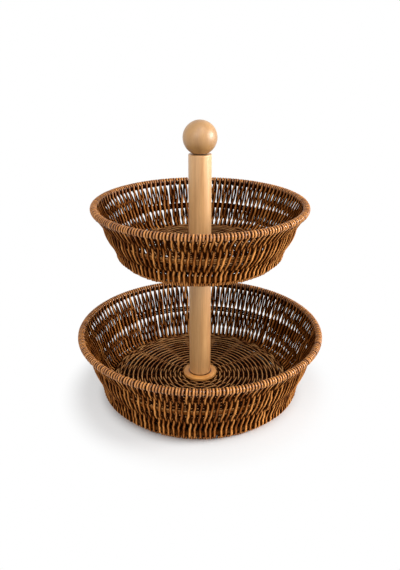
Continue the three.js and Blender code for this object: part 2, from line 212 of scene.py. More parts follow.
# Each basket's wall, from foot to rim: radius and height of the middle of the wall in
# millimetres, with its own bottom edge at height 0.
LOWER = {
    "name": "lower",
    "base": 0.0,
    "pairs": 132,
    "foot": (118.9, 0.0),
    "hoop": (124.0, 12.3),
    "low_cross": (132.4, 33.0),
    "middle": (138.4, 50.0),
    "high_cross": (144.2, 66.8),
    "rim": (153.5, 86.4),
    "floor_rows": 31,
    "seed": 11,
}
UPPER = {
    "name": "upper",
    "base": 185.5,
    "pairs": 110,
    "foot": (93.4, 0.0),
    "hoop": (98.1, 10.6),
    "low_cross": (106.2, 22.8),
    "middle": (112.8, 36.6),
    "high_cross": (118.6, 50.6),
    "rim": (128.2, 68.4),
    "floor_rows": 23,
    "seed": 23,
}


# Curves


def ease(t):
    """Smooth step from 0 to 1."""
    t = np.clip(t, 0, 1)
    return t**2 * (3 - 2 * t)


def smooth_line(x, xs, ys):
    """Cubic line through the points (xs, ys), read at x, that doesn't overshoot them."""
    xs = np.asarray(xs, float)
    ys = np.asarray(ys, float)
    step = np.diff(xs)
    rise = np.diff(ys) / step
    slope = np.zeros(len(xs))
    product = rise[:-1] * rise[1:]
    slope[1:-1] = np.where(product > 0, 2 * product / (rise[:-1] + rise[1:] + 1e-12), 0)
    slope[0] = rise[0]
    slope[-1] = rise[-1]
    i = np.clip(np.searchsorted(xs, x) - 1, 0, len(step) - 1)
    t = (x - xs[i]) / step[i]
    a = (1 + 2 * t) * (1 - t) ** 2
    b = t * (1 - t) ** 2
    c = t**2 * (3 - 2 * t)
    d = t**2 * (t - 1)
    return a * ys[i] + b * step[i] * slope[i] + c * ys[i + 1] + d * step[i] * slope[i + 1]


def wander(rng, x, reach, amount):
    """Slow random drift along a rod, of up to the amount and with waves of the reach."""
    total = np.zeros_like(x)
    for share, length in ((0.65, reach), (0.35, reach * 0.43)):
        total += share * np.sin(FULL_TURN * (x / length + rng.random()))
    return amount * total


def around(angle, radius, height):
    """Points at an angle about the pole, measured from the front towards the right."""
    return np.stack([radius * np.sin(angle), -radius * np.cos(angle), height + 0 * angle], axis=-1)


def full_circle(steps):
    return np.linspace(0, FULL_TURN, steps, endpoint=False)


# Bent rods


def cross_axes(path, outward, closed):
    """Unit directions across a rod at each point of its path: sideways and outward."""
    if closed:
        tangent = np.roll(path, -1, axis=0) - np.roll(path, 1, axis=0)
    else:
        tangent = np.gradient(path, axis=0)
    tangent /= np.linalg.norm(tangent, axis=1)[:, None]
    side = np.cross(tangent, outward)
    side /= np.linalg.norm(side, axis=1)[:, None]
    return side, np.cross(side, tangent)


def stain_and_shade_left(path, normal, rise, deep, facing, clean, inside):
    """How dark stain and painted shade make each point of a rod's skin: in the sides that don't show,
    where it lies low and on the side that faces the pole. rise is how far the skin there looks
    outward, and RodBundle.add says what the others are."""
    shown = np.broadcast_to(facing, len(path))[:, None]
    exposed = rise * shown + np.abs(rise) * (1 - np.abs(shown))
    hidden = ease((clean[0] - exposed) / clean[1])
    low = np.broadcast_to(deep, len(path))[:, None]
    away = path * (1 - UP)
    away /= np.linalg.norm(away, axis=1)[:, None] + 1e-9
    inward = np.clip(-np.sum(normal * away[:, None, :], axis=2), 0, 1)
    return 1 - (1 - SIDE_SHADE_AND_STAIN * hidden) * (1 - LOW_SHADE * low) * (1 - inside * inward)


class RodBundle:
    """Collects bent rods and turns them into one mesh, with each rod's own shade and its length
    and girth coordinates kept for the material."""

    def __init__(self, sides=8):
        self.sides = sides
        self.points = []
        self.faces = []
        self.kept = {"shade": [], "honey": [], "deep": [], "along": []}
        self.girth = []
        self.count = 0

    def add(
        self,
        path,
        outward,
        half_width,
        half_thickness,
        shade,
        closed=False,
        honey=0.0,
        deep=0.0,
        facing=1.0,
        clean=HIDDEN_DARK_SIDES,
        inside=0.0,
    ):
        """path is (n, 3) in millimetres, and outward is one direction or one for each point. The
        half sizes are numbers or arrays, and so are honey, which lightens the rod towards the
        rim's colour, deep, which darkens it as painted shade where it lies low in the weave, and facing,
        which is 1 where the outward side shows, -1 where the other side does and 0 where both do.
        Stain and painted shade darken the sides that don't show: clean gives where that begins
        and how softly, and inside is how much darker, as painted shade, the side is that faces the pole."""
        n = len(path)
        side, out = cross_axes(path, outward, closed)
        angle = np.arange(self.sides) * FULL_TURN / self.sides
        cosine = np.cos(angle)[None, :, None]
        sine = np.sin(angle)[None, :, None]
        width = np.broadcast_to(half_width, n)[:, None, None]
        thickness = np.broadcast_to(half_thickness, n)[:, None, None]
        rings = path[:, None, :] + cosine * width * side[:, None, :] + sine * thickness * out[:, None, :]
        self.points.append(rings.reshape(-1, 3))

        step = np.linalg.norm(np.diff(path, axis=0), axis=1)
        run = np.concatenate([[0.0], np.cumsum(step)])
        normal = cosine * side[:, None, :] + sine * out[:, None, :]
        # stain and painted shade: darker where the side doesn't show, where the rod lies low and inside the
        # basket
        stain = stain_and_shade_left(path, normal, np.sin(angle)[None, :], deep, facing, clean, inside)
        self.kept["shade"].append(np.full(n * self.sides, shade))
        self.kept["honey"].append(np.repeat(np.broadcast_to(honey, n), self.sides))
        self.kept["deep"].append(stain.ravel())
        self.kept["along"].append(np.repeat(run * MM, self.sides))
        girth = np.stack([np.cos(angle), np.sin(angle), 0 * angle], axis=-1)
        self.girth.append(np.tile(girth, (n, 1)))

        self.add_faces(n, closed)
        self.count += n * self.sides

    def add_faces(self, n, closed):
        """Quads between n rings, and a cap on each end of an open rod."""
        i = np.arange(n if closed else n - 1)[:, None] * self.sides
        j = np.arange(self.sides)[None, :]
        following = (j + 1) % self.sides
        upper = (i + self.sides) % (n * self.sides)
        quads = np.stack([i + j, i + following, upper + following, upper + j], axis=-1)
        self.faces.extend((self.count + quads.reshape(-1, 4)).tolist())
        if not closed:
            first_ring = self.count + np.arange(self.sides)
            self.faces.append(first_ring[::-1].tolist())
            self.faces.append((first_ring + (n - 1) * self.sides).tolist())

    def build(self, name, material, base=0.0):
        mesh = bpy.data.meshes.new(name)
        points = np.concatenate(self.points)
        points[:, 2] += base
        mesh.from_pydata((points * MM).tolist(), [], self.faces)
        mesh.polygons.foreach_set("use_smooth", [len(f) == 4 for f in self.faces])
        for label, values in self.kept.items():
            layer = mesh.attributes.new(label, "FLOAT", "POINT")
            layer.data.foreach_set("value", np.concatenate(values).astype(np.float32))
        layer = mesh.attributes.new("ring", "FLOAT_VECTOR", "POINT")
        layer.data.foreach_set("vector", np.concatenate(self.girth).astype(np.float32).ravel())
        return new_piece(name, mesh, material)


def new_piece(name, mesh, material):
    mesh.materials.append(material)
    mesh.update()
    piece = bpy.data.objects.new(name, mesh)
    bpy.context.scene.collection.objects.link(piece)
    return piece


# Walls


def wall_shape(tier):
    """The wall in section: distance along it from the foot, radius and height of its stations."""
    stations = ["foot", "hoop", "low_cross", "middle", "high_cross", "rim"]
    radius = np.array([tier[k][0] for k in stations])
    height = np.array([tier[k][1] for k in stations])
    stops = np.concatenate([[0.0], np.cumsum(np.hypot(np.diff(radius), np.diff(height)))])
    return stops, radius, height


def wall_point(tier, s):
    """Radius and height of the wall at the distances s from the foot, and the radial and upward
    parts of the direction out of it."""
    stops, radius, height = wall_shape(tier)
    r = smooth_line(s, stops, radius)
    z = smooth_line(s, stops, height)
    dr = np.gradient(r, s)
    dz = np.gradient(z, s)
    size = np.hypot(dr, dz)
    return r, z, dz / size, -dr / size


def layer_reach(stops, s):
    """Distance from the middle of the wall to each of its two layers, at the distances s from
    the foot. The base hoop, the middle rods and the rim core hold the layers apart."""
    foot, hoop, low_cross, middle, high_cross, rim = stops
    plan = (
        (foot, FOOT_REACH),
        (hoop, BASE_HOOP_RADIUS + STRAND_HALF_THICKNESS + HOOP_CLEARANCE),
        (hoop + ALIGNED, ALIGNED_REACH),
        (low_cross, CROSSING_REACH),
        (middle, MIDDLE_ROD_HALF_THICKNESS + STRAND_HALF_THICKNESS),
        (high_cross, CROSSING_REACH),
        (rim - UNDER_RIM, UNDER_RIM_REACH),
        (rim, RIM_LOOP_RADIUS),
    )
    places, reaches = zip(*plan)
    return smooth_line(s, places, reaches)


def round_rim(tier, nr, nz, a, slack=0.0):
    """Points round the rim core at the angles a, from its outer side over its top: radius and
    height, and the radial and upward parts of the direction away from it. (nr, nz) is the
    direction out of the wall, and slack is how far the points hang down."""
    rim_r, rim_z = tier["rim"]
    across = RIM_LOOP_RADIUS * np.cos(a)
    upward = RIM_LOOP_RADIUS * np.sin(a) - slack
    radius = rim_r + across * nr - upward * nz
    height = rim_z + across * nz + upward * nr
    return radius, height, np.cos(a) * nr - np.sin(a) * nz, np.cos(a) * nz + np.sin(a) * nr


def pair_twist(stops, s, rng):
    """How far the two legs of a pair have turned about each other, at the distances s from the
    foot. They lie side by side at the foot, one behind the other from the base hoop on, and
    change layers where they cross, below the middle rods and above them."""
    _, hoop, low_cross, middle, high_cross, rim = stops
    low_cross += rng.gauss(0, CROSSING_SCATTER)
    high_cross += rng.gauss(0, CROSSING_SCATTER)
    plan = (
        (0.0, -0.5),
        (TIP_LENGTH, -0.5),
        (hoop, 0),
        (hoop + ALIGNED, 0),
        (low_cross, 0.5),
        (middle, 1),
        (high_cross, 1.5),
        (rim, 2),
    )
    places, half_turns = zip(*plan)
    return smooth_line(s, places, np.array(half_turns) * math.pi)


def join_legs(outer, top, inner):
    """Values along a loop: up its outer leg, over the rim and down its inner leg."""
    return np.concatenate([outer, np.broadcast_to(top, LOOP_STEPS), inner[::-1]])


def strand_loops(tier, rng):
    """Every wall strand is bent double over the rim core. Its two legs are a pair that twists
    down the wall, each leg in turn in the outer and in the inner layer."""
    bundle = RodBundle()
    stops = wall_shape(tier)[0]
    length = stops[-1]
    s = np.linspace(0.0, length, int(length / STRAND_STEP))
    r, z, nr, nz = wall_point(tier, s)
    reach = layer_reach(stops, s)
    over = np.linspace(0, math.pi, LOOP_STEPS + 2)[1:-1]
    top_r, top_z, top_nr, top_nz = round_rim(tier, nr[-1], nz[-1], over)
    out_r = join_legs(nr, top_nr, -nr)
    out_z = join_legs(nz, top_nz, -nz)
    wave_end = 2 * length + 3 * SWELL_RIM_RADIUS
    wave_places = np.concatenate([s, length + over * SWELL_RIM_RADIUS, wave_end - s])
    press = np.clip((s - stops[-2]) / (length - stops[-2]), 0, 1) ** 3
    near_rim = np.clip(1 - (length - s) / RIM_COLOUR_REACH, 0, 1)
    near_tip = np.clip((TIP_LENGTH + 1 - s) / 2, 0, 1)
    light = np.maximum(near_rim, TIP_HONEY * near_tip)
    rim_r = tier["rim"][0]
    pitch = FULL_TURN / tier["pairs"]
    swing = rng.random() * 7
    for k in range(tier["pairs"]):
        turn = -1.0 if rng.random() < TURNED_SHARE else 1.0
        centre = k * pitch + rng.gauss(0, PLACE_SCATTER) / rim_r
        sway = 0.6 * math.sin(3 * k * pitch + swing) + 0.4 * math.sin(8 * k * pitch + 2 * swing)
        lean = (SWAY * sway + rng.gauss(0, LEAN_SCATTER)) / rim_r
        twist = pair_twist(stops, s, rng)
        passed = np.sin(twist)
        layer = np.cos(twist)
        closed = ease((np.abs(passed) - GAP_ENDS[0]) / (GAP_ENDS[1] - GAP_ENDS[0]))
        legs = []
        for outer in (1.0, -1.0):
            drift = wander(rng, s, DRIFT_LENGTH, DRIFT) * np.clip((length - s) / DRIFT_END, 0, 1)
            offset = outer * reach * layer
            radius = r + offset * nr
            apart = radius * pitch / 4
            sideways = outer * turn * apart * np.sign(passed) * closed + drift
            angle = centre + lean * (s / length - 1) + sideways / radius
            legs.append((radius, z + offset * nz, angle))
        top = (top_r, top_z, centre + WINDING_LEAN * np.sin(over) / rim_r)
        radius, height, angle = (join_legs(*parts) for parts in zip(legs[0], top, legs[1]))
        height[0] += rng.random() * TIP_SCATTER
        height[-1] += rng.random() * TIP_SCATTER
        size = rng.uniform(*STRAND_SIZES)
        thickness = STRAND_HALF_THICKNESS * size * (1 - press) + WRAP_HALF_THICKNESS * press
        width = STRAND_HALF_WIDTH * size * (1 - press) + WRAP_HALF_WIDTH * press
        width *= 1 - CROSSING_SQUEEZE * passed**2
        swell = 1 + wander(rng, wave_places, SWELL_LENGTH, SWELL)
        # painted shade where the two legs of a pair pass each other
        passing_shade = CROSSING_SHADE * passed**2 * (1 - near_rim) * (1 - near_tip)
        shown_side = np.clip(INSIDE_EDGE * layer, -1, 1)
        bundle.add(
            around(angle, radius, height),
            around(angle, out_r, out_z),
            join_legs(width, WRAP_HALF_WIDTH, width) * swell,
            join_legs(thickness, WRAP_HALF_THICKNESS, thickness) * swell,
            rng.random(),
            honey=join_legs(light, 1.0, light),
            deep=join_legs(passing_shade, 0.0, passing_shade),
            facing=join_legs(shown_side, 1.0, shown_side),
            clean=STRAND_DARK_SIDES,
            inside=INSIDE_SHADE,
        )
    return bundle


def rim_winding(tier, rng):
    """The strand wound round the rim core: a ring between each two loops."""
    bundle = RodBundle()
    rim_r = tier["rim"][0]
    s = np.linspace(0, wall_shape(tier)[0][-1], 40)
    _, _, nr, nz = wall_point(tier, s)
    pitch = FULL_TURN / tier["pairs"]
    a = full_circle(WINDING_STEPS)
    below = np.clip(-np.sin(a), 0, 1)
    radius, height, out_r, out_z = round_rim(tier, nr[-1], nz[-1], a, WINDING_HANG * below)
    for k in range(tier["pairs"]):
        centre = (k + 0.5) * pitch + rng.gauss(0, WINDING_SCATTER) / rim_r
        skew = rng.gauss(0, WINDING_SKEW)
        angle = centre + (skew * np.cos(a) + WINDING_LEAN * np.sin(a)) / rim_r
        bundle.add(
            around(angle, radius, height),
            around(angle, out_r, out_z),
            WRAP_HALF_WIDTH * rng.uniform(*WRAP_WIDTHS),
            WRAP_HALF_THICKNESS * rng.uniform(*WRAP_THICKNESSES),
            rng.random(),
            closed=True,
            honey=1.0,
            # painted shade on the winding's underside
            deep=np.clip(3 * below, 0, 1),
            clean=WINDING_DARK_SIDES,
        )
    return bundle


def add_hoop(bundle, radius, height, half_width, half_thickness, shade, **finish):
    """A closed rod round the pole's axis. Its radius and height are numbers or arrays."""
    angle = full_circle(HOOP_STEPS)
    path = around(angle, radius, height)
    outward = around(angle, 1.0, 0.0)
    bundle.add(path, outward, half_width, half_thickness, shade, closed=True, **finish)


def rim_core(tier, rng):
    """The bent rod that the loops and the winding go round."""
    core = RodBundle(sides=10)
    # painted shade: the rim core is kept dark
    add_hoop(core, *tier["rim"], RIM_CORE_RADIUS, RIM_CORE_RADIUS, rng.random(), deep=0.9, facing=0.0)
    return core


def middle_hoops(tier, rng):
    """The middle rods, trapped between the strands."""
    rods = RodBundle()
    stops = wall_shape(tier)[0]
    stations = 200
    _, _, nr, nz = wall_point(tier, np.linspace(0, stops[-1], stations))
    at = int(round(stops[3] / stops[-1] * (stations - 1)))
    angle = full_circle(HOOP_STEPS)
    for i in range(MIDDLE_RODS):
        along = (i - (MIDDLE_RODS - 1) / 2) * MIDDLE_ROD_PITCH
        radius = tier["middle"][0] + along * -nz[at] + 0.15 * np.sin(7 * angle + i)
        height = tier["middle"][1] + along * nr[at] + 0.3 * np.sin(5 * angle)
        add_hoop(
            rods,
            radius,
            height,
            MIDDLE_ROD_HALF_WIDTH,
            MIDDLE_ROD_HALF_THICKNESS,
            rng.random(),
            # painted shade: a little darker, and dark on the side towards the pole
            deep=0.1,
            inside=1.0,
            clean=MIDDLE_ROD_DARK_SIDES,
        )
    return rods


def foot_hoop(tier, rng):
    """The base hoop, trapped between the strands."""
    base = RodBundle(sides=14)
    # painted shade: the base hoop is kept dark
    add_hoop(base, *tier["hoop"], BASE_HOOP_RADIUS, BASE_HOOP_RADIUS, rng.random(), deep=0.75, facing=0.0)
    return base


# Floors


def floor_rows(tier, rng):
    """Rows of weavers over and under the spokes, from the disc out to the border."""
    rows = RodBundle()
    outer = tier["floor_edge"] - FLOOR_BORDER - ROW_GAP
    middle = tier["floor_top"] - FLOOR_THICKNESS / 2
    angle = full_circle(SPOKES * 9)
    for i in range(tier["floor_rows"]):
        share = i / (tier["floor_rows"] - 1)
        radius = FLOOR_HEART + (outer - FLOOR_HEART) * share**ROW_SPACING
        side = 1 if i % 2 else -1
        wave = (side * np.cos(SPOKES / 2 * angle) + WEAVER_ON_TOP) / (1 + WEAVER_ON_TOP)
        lift = WEAVER_LIFT + WEAVER_SWING * np.sign(wave) * np.abs(wave) ** WEAVER_FLATNESS
        wobble = 0.25 * np.sin(3 * angle + rng.random() * 7) + 0.15 * np.sin(11 * angle + rng.random() * 7)
        path = around(angle, radius + wobble, middle + lift)
        half = WEAVER_HALF_THICKNESS * rng.uniform(*WEAVER_SIZES)
        # painted shade where the weaver dips low
        low = np.clip((WEAVER_SHADE_TOP - lift) / WEAVER_SHADE_DEPTH, 0, 1)
        shade = rng.random()
        rows.add(path, UP, half * WEAVER_BREADTH, half, shade, closed=True, deep=low, clean=WEAVER_DARK_SIDES)
    return rows


def floor_border(tier, rng):
    """Twisted band round the floor: three ropes of two rods each."""
    band = RodBundle()
    middle = tier["floor_top"] - FLOOR_THICKNESS / 2
    start = tier["floor_edge"] - FLOOR_BORDER
    turns = int(tier["floor_edge"] * FULL_TURN / BORDER_TWIST)
    angle = full_circle(turns * 12)
    for row in range(BORDER_ROWS):
        radius = start + FLOOR_BORDER * (row + 0.5) / BORDER_ROWS
        twist_way = 1 if row % 2 else -1
        for part in range(2):
            phase = twist_way * turns * angle + part * math.pi + row
            height = middle + BORDER_ROPE_RISE * np.sin(phase)
            path = around(angle, radius + BORDER_ROPE_REACH * np.cos(phase), height)
            band.add(
                path,
                UP,
                BORDER_HALF_WIDTH,
                BORDER_HALF_THICKNESS,
                rng.random(),
                closed=True,
                # painted shade where the rope's rods dip low
                deep=np.clip(0.75 - 0.75 * np.sin(phase), 0, 1),
                clean=WEAVER_DARK_SIDES,
            )
    return band


def floor_spokes(tier, rng):
    """Sixteen spokes that run from the middle out to the wall."""
    star = RodBundle()
    edge = tier["floor_edge"]
    radius = np.linspace(SPOKE_START, edge + SPOKE_END, 24)
    half_width = np.interp(radius, [SPOKE_START, SPOKE_FULL, edge], SPOKE_HALF_WIDTHS)
    for i in range(SPOKES):
        angle = np.full_like(radius, i * FULL_TURN / SPOKES)
        path = around(angle, radius, tier["floor_top"] - FLOOR_THICKNESS / 2)
        # painted shade: the spokes are kept dark between the rows
        star.add(path, UP, half_width, SPOKE_HALF_THICKNESS, rng.random(), deep=0.85)
    return star


# Turned wood


def turned(name, profile, material, closed=False, seams=(), seam_rings=()):
    """Solid of revolution about the pole's axis. The profile is (radius, height) in millimetres,
    anticlockwise, from axis to axis or closed on itself. The wood is painted darker, as shade, within
    SEAM_REACH of one of the seams' heights, and inside the radii of the seam rings and as near outside them."""
    mesh = bpy.data.meshes.new(name)
    made = bmesh.new()
    seam_layer = made.verts.layers.float.new("seam")
    rings = []
    for radius, height in profile:
        if radius == 0:
            rings.append([made.verts.new((0, 0, height * MM))])
            continue
        ring = []
        for i in range(TURNED_SIDES):
            a = i * FULL_TURN / TURNED_SIDES
            ring.append(made.verts.new((radius * math.sin(a) * MM, -radius * math.cos(a) * MM, height * MM)))
        rings.append(ring)
    pairs = list(zip(rings, rings[1:]))
    if closed:
        pairs.append((rings[-1], rings[0]))
    for low, high in pairs:
        for i in range(TURNED_SIDES):
            j = (i + 1) % TURNED_SIDES
            if len(low) == 1:
                made.faces.new((low[0], high[j], high[i]))
            elif len(high) == 1:
                made.faces.new((low[i], low[j], high[0]))
            else:
                made.faces.new((low[i], low[j], high[j], high[i]))
    for vert in made.verts:
        nearest = min((abs(vert.co.z / MM - height) for height in seams), default=SEAM_REACH)
        for radius in seam_rings:
            nearest = min(nearest, max(0.0, math.hypot(vert.co.x, vert.co.y) / MM - radius))
        vert[seam_layer] = max(0.0, 1 - nearest / SEAM_REACH)
    bmesh.ops.recalc_face_normals(made, faces=made.faces)
    made.to_mesh(mesh)
    made.free()
    mesh.polygons.foreach_set("use_smooth", [True] * len(mesh.polygons))
    return new_piece(name, mesh, material)


def rounded(corners):
    """Profile from (radius, height, rounding) corners."""
    profile = []
    for i, (r, z, rounding) in enumerate(corners):
        if rounding == 0:
            profile.append((r, z))
            continue
        here = Vector((r, z))
        before = Vector(corners[i - 1][:2])
        after = Vector(corners[(i + 1) % len(corners)][:2])
        a = here + (before - here).normalized() * rounding
        b = here + (after - here).normalized() * rounding
        for step in range(ROUNDING_STEPS + 1):
            t = step / ROUNDING_STEPS
            point = a * (1 - t) ** 2 + here * 2 * t * (1 - t) + b * t**2
            profile.append((point.x, point.y))
    return profile


def pole_piece(name, low, high, material, seams, seam_rings):
    corners = [
        (0, low, 0),
        (POLE_RADIUS, low, POLE_FOOT_ROUNDING),
        (POLE_RADIUS, low + SEAM_REACH, 0),
        (POLE_RADIUS, high - SEAM_REACH, 0),
        (POLE_RADIUS, high, POLE_TOP_ROUNDING),
        (BALL_SHADE + SEAM_REACH, high, 0),
        (BALL_SHADE, high, 0),
        (0, high, 0),
    ]
    return turned(name, rounded(corners), material, seams=seams, seam_rings=seam_rings)


def disc_piece(name, low, material):
    high = low + DISC_THICKNESS
    corners = [
        (DISC_HOLE_RADIUS, low, 0),
        (DISC_RADIUS, low, 0.5),
        (DISC_RADIUS, high - DISC_SLOPE, 0.5),
        (DISC_RADIUS - DISC_SLOPE_WIDTH, high, 0.9),
        (FOOT_SHADE + SEAM_REACH, high, 0),
        (FOOT_SHADE, high, 0),
        (DISC_HOLE_RADIUS, high, 0),
    ]
    return turned(name, rounded(corners), material, closed=True, seam_rings=(FOOT_SHADE,))


def ball_piece(name, material):
    centre = FINIAL_SEAT + math.sqrt(BALL_RADIUS**2 - BALL_SEAT_RADIUS**2)
    seat = math.atan2(FINIAL_SEAT - centre, BALL_SEAT_RADIUS)
    bore_end = FINIAL_SEAT + BALL_BORE_DEPTH
    profile = [(0, bore_end), (BALL_BORE_RADIUS, bore_end), (BALL_BORE_RADIUS, FINIAL_SEAT)]
    for i in range(BALL_STEPS):
        a = seat + (math.pi / 2 - seat) * i / BALL_STEPS
        profile.append((BALL_RADIUS * math.cos(a), centre + BALL_RADIUS * math.sin(a)))
    profile.append((0, centre + BALL_RADIUS))
    return turned(name, profile, material, seams=(FINIAL_SEAT,))


# Nodes


class NodeTree:
    """Short way to lay out a material's or a group's nodes."""

    def __init__(self, tree):
        self.tree = tree

    def node(self, kind, **settings):
        made = self.tree.nodes.new(kind)
        for key, value in settings.items():
            setattr(made, key, value)
        return made

    def link(self, a, b):
        self.tree.links.new(a, b)

    def feed(self, socket, value):
        """Sets a socket to a number or a colour, or links it to another socket."""
        if isinstance(value, (int, float)):
            socket.default_value = value
        elif isinstance(value, tuple):
            socket.default_value = (*value, 1)
        else:
            self.link(value, socket)

    def math(self, operation, *values, clamp=False):
        made = self.node("ShaderNodeMath", operation=operation, use_clamp=clamp)
        for socket, value in zip(made.inputs, values):
            self.feed(socket, value)
        return made.outputs[0]

    def about_half(self, value, amount):
        """A value about 0.5 turned into one about 0, and scaled."""
        return self.math("MULTIPLY", self.math("SUBTRACT", value, 0.5), amount)

    def attribute(self, name, output="Fac"):
        return self.node("ShaderNodeAttribute", attribute_name=name).outputs[output]

    def place(self):
        return self.node("ShaderNodeTexCoord").outputs["Object"]

    def vector(self, *parts):
        made = self.node("ShaderNodeCombineXYZ")
        for socket, part in zip(made.inputs, parts):
            self.feed(socket, part)
        return made.outputs[0]

    def noise(self, vector, scale, detail, roughness):
        made = self.node("ShaderNodeTexNoise")
        made.inputs["Scale"].default_value = scale
        made.inputs["Detail"].default_value = detail
        made.inputs["Roughness"].default_value = roughness
        self.link(vector, made.inputs["Vector"])
        return made.outputs["Fac"]

    def remap(self, value, low, high, top=1.0, kind="LINEAR"):
        """0 up to low, and the top from high on."""
        made = self.node("ShaderNodeMapRange", interpolation_type=kind)
        made.inputs["From Min"].default_value = low
        made.inputs["From Max"].default_value = high
        made.inputs["To Max"].default_value = top
        self.link(value, made.inputs["Value"])
        return made.outputs[0]

    def mix(self, factor, a, b, blend="MIX"):
        made = self.node("ShaderNodeMix", data_type="RGBA", blend_type=blend)
        for i, value in ((0, factor), (6, a), (7, b)):
            self.feed(made.inputs[i], value)
        return made.outputs[2]

    def bump(self, shader, height, strength, distance):
        made = self.node("ShaderNodeBump")
        made.inputs["Strength"].default_value = strength
        made.inputs["Distance"].default_value = distance
        self.link(height, made.inputs["Height"])
        self.link(made.outputs[0], shader.inputs["Normal"])

    def group(self, group, **values):
        made = self.node("ShaderNodeGroup", node_tree=group)
        for label, value in values.items():
            self.feed(made.inputs[label], value)
        return made.outputs


def empty_tree(owner):
    owner.use_nodes = True
    owner.node_tree.nodes.clear()
    return NodeTree(owner.node_tree)


def new_material(name):
    material = bpy.data.materials.new(name)
    tree = empty_tree(material)
    shader = tree.node("ShaderNodeBsdfPrincipled")
    output = tree.node("ShaderNodeOutputMaterial")
    tree.link(shader.outputs[0], output.inputs["Surface"])
    return material, tree, shader


def new_group(name, colours, numbers, outputs):
    """Node group with its colour and number inputs. Its outputs are a colour and numbers."""
    group = bpy.data.node_groups.new(name, "ShaderNodeTree")
    for label, value in colours.items():
        socket = group.interface.new_socket(name=label, in_out="INPUT", socket_type="NodeSocketColor")
        socket.default_value = (*value, 1)
    for label, value in numbers.items():
        socket = group.interface.new_socket(name=label, in_out="INPUT", socket_type="NodeSocketFloat")
        socket.default_value = value
    group.interface.new_socket(name="Color", in_out="OUTPUT", socket_type="NodeSocketColor")
    for label in outputs:
        group.interface.new_socket(name=label, in_out="OUTPUT", socket_type="NodeSocketFloat")
    tree = NodeTree(group)
    entry = tree.node("NodeGroupInput")
    leave = tree.node("NodeGroupOutput")
    return group, tree, entry.outputs, leave.inputs


# Materials


def willow_skin_group():
    """Stained, lacquered willow: each strand has its own shade, with streaks along its length. The
    deep attribute darkens it with stain and painted shade, and its ridges get a painted highlight.
    """
    group, tree, entry, leave = new_group(
        "Willow skin",
        {"Dark": DARK_STAIN_AND_SHADE, "Middle": BROWN, "Light": TAN},
        {"Lightness": 0.5, "Spread": 0.5, "Honey": RIM_HONEY, "Gloss": 0.4},
        ["Roughness", "Height", "Polish"],
    )
    shade = tree.attribute("shade")
    along = tree.attribute("along")
    honey = tree.attribute("honey")
    deep = tree.attribute("deep")
    ring = tree.node("ShaderNodeSeparateXYZ")
    tree.link(tree.attribute("ring", "Vector"), ring.inputs[0])
    across = tree.math("ADD", ring.outputs[0], tree.math("MULTIPLY", shade, 91.0))
    place = tree.vector(across, ring.outputs[1], tree.math("MULTIPLY", along, 60.0))
    streaks = tree.noise(place, scale=2.6, detail=5.0, roughness=0.6)
    slow = tree.vector(tree.math("MULTIPLY", shade, 53.0), 0.0, tree.math("MULTIPLY", along, 55.0))
    stain = tree.noise(slow, scale=1.0, detail=3.0, roughness=0.6)
    # deep holds the stain and painted shade from the mesh, and clean is the bare, lit rest
    clean = tree.math("SUBTRACT", 1.0, deep, clamp=True)

    evenness = tree.math("MULTIPLY_ADD", honey, -0.6, 1.0)
    spread = tree.math("MULTIPLY", tree.about_half(shade, entry["Spread"]), evenness)
    level = tree.math("ADD", entry["Lightness"], spread)
    level = tree.math("MULTIPLY_ADD", honey, entry["Honey"], level)
    level = tree.math("ADD", level, tree.about_half(stain, BLOTCHES))
    level = tree.math("ADD", level, tree.about_half(streaks, STREAKS))
    # painted highlight and shade: lighter ridges, darker sides
    painted_ridge = tree.math("MULTIPLY_ADD", clean, RIDGE_HIGHLIGHT, -0.6 * RIDGE_HIGHLIGHT)
    level = tree.math("ADD", level, painted_ridge, clamp=True)

    low = tree.math("MULTIPLY", level, 2.0, clamp=True)
    high = tree.math("SUBTRACT", tree.math("MULTIPLY", level, 2.0), 1.0, clamp=True)
    colour = tree.mix(low, entry["Dark"], entry["Middle"])
    colour = tree.mix(high, colour, entry["Light"])
    # darkened towards the stain's colour by stain and painted shade
    stained_and_shaded = tree.mix(DEEPEST, colour, entry["Dark"])
    tree.link(tree.mix(clean, stained_and_shaded, colour), leave["Color"])
    rough = tree.math("MULTIPLY_ADD", streaks, 0.18, entry["Gloss"])
    tree.link(tree.math("MULTIPLY_ADD", deep, 0.4, rough), leave["Roughness"])
    tree.link(streaks, leave["Height"])
    polish = tree.math("MULTIPLY_ADD", honey, 1 - WALL_POLISH, WALL_POLISH)
    tree.link(tree.math("MULTIPLY", clean, polish), leave["Polish"])
    return group


def willow(name, skin_group, colours, tone, lacquer=0.0, sheen=1.5, softness=0.36):
    """colours are dark, middle and light. tone is how light the willow is, how far its rods'
    shades are apart, and how rough it is. lacquer is how much of it has a coat, sheen is the
    coat's index of refraction and softness its roughness."""
    material, tree, shader = new_material(name)
    dark, middle, light = colours
    lightness, spread, gloss = tone
    skin = tree.group(
        skin_group, Dark=dark, Middle=middle, Light=light, Lightness=lightness, Spread=spread, Gloss=gloss
    )
    tree.link(skin["Color"], shader.inputs["Base Color"])
    tree.link(skin["Roughness"], shader.inputs["Roughness"])
    tree.bump(shader, skin["Height"], strength=0.35, distance=0.0004)
    shader.inputs["Specular IOR Level"].default_value = 0.0
    tree.link(tree.math("MULTIPLY", skin["Polish"], lacquer), shader.inputs["Coat Weight"])
    shader.inputs["Coat Roughness"].default_value = softness
    shader.inputs["Coat IOR"].default_value = sheen
    return material


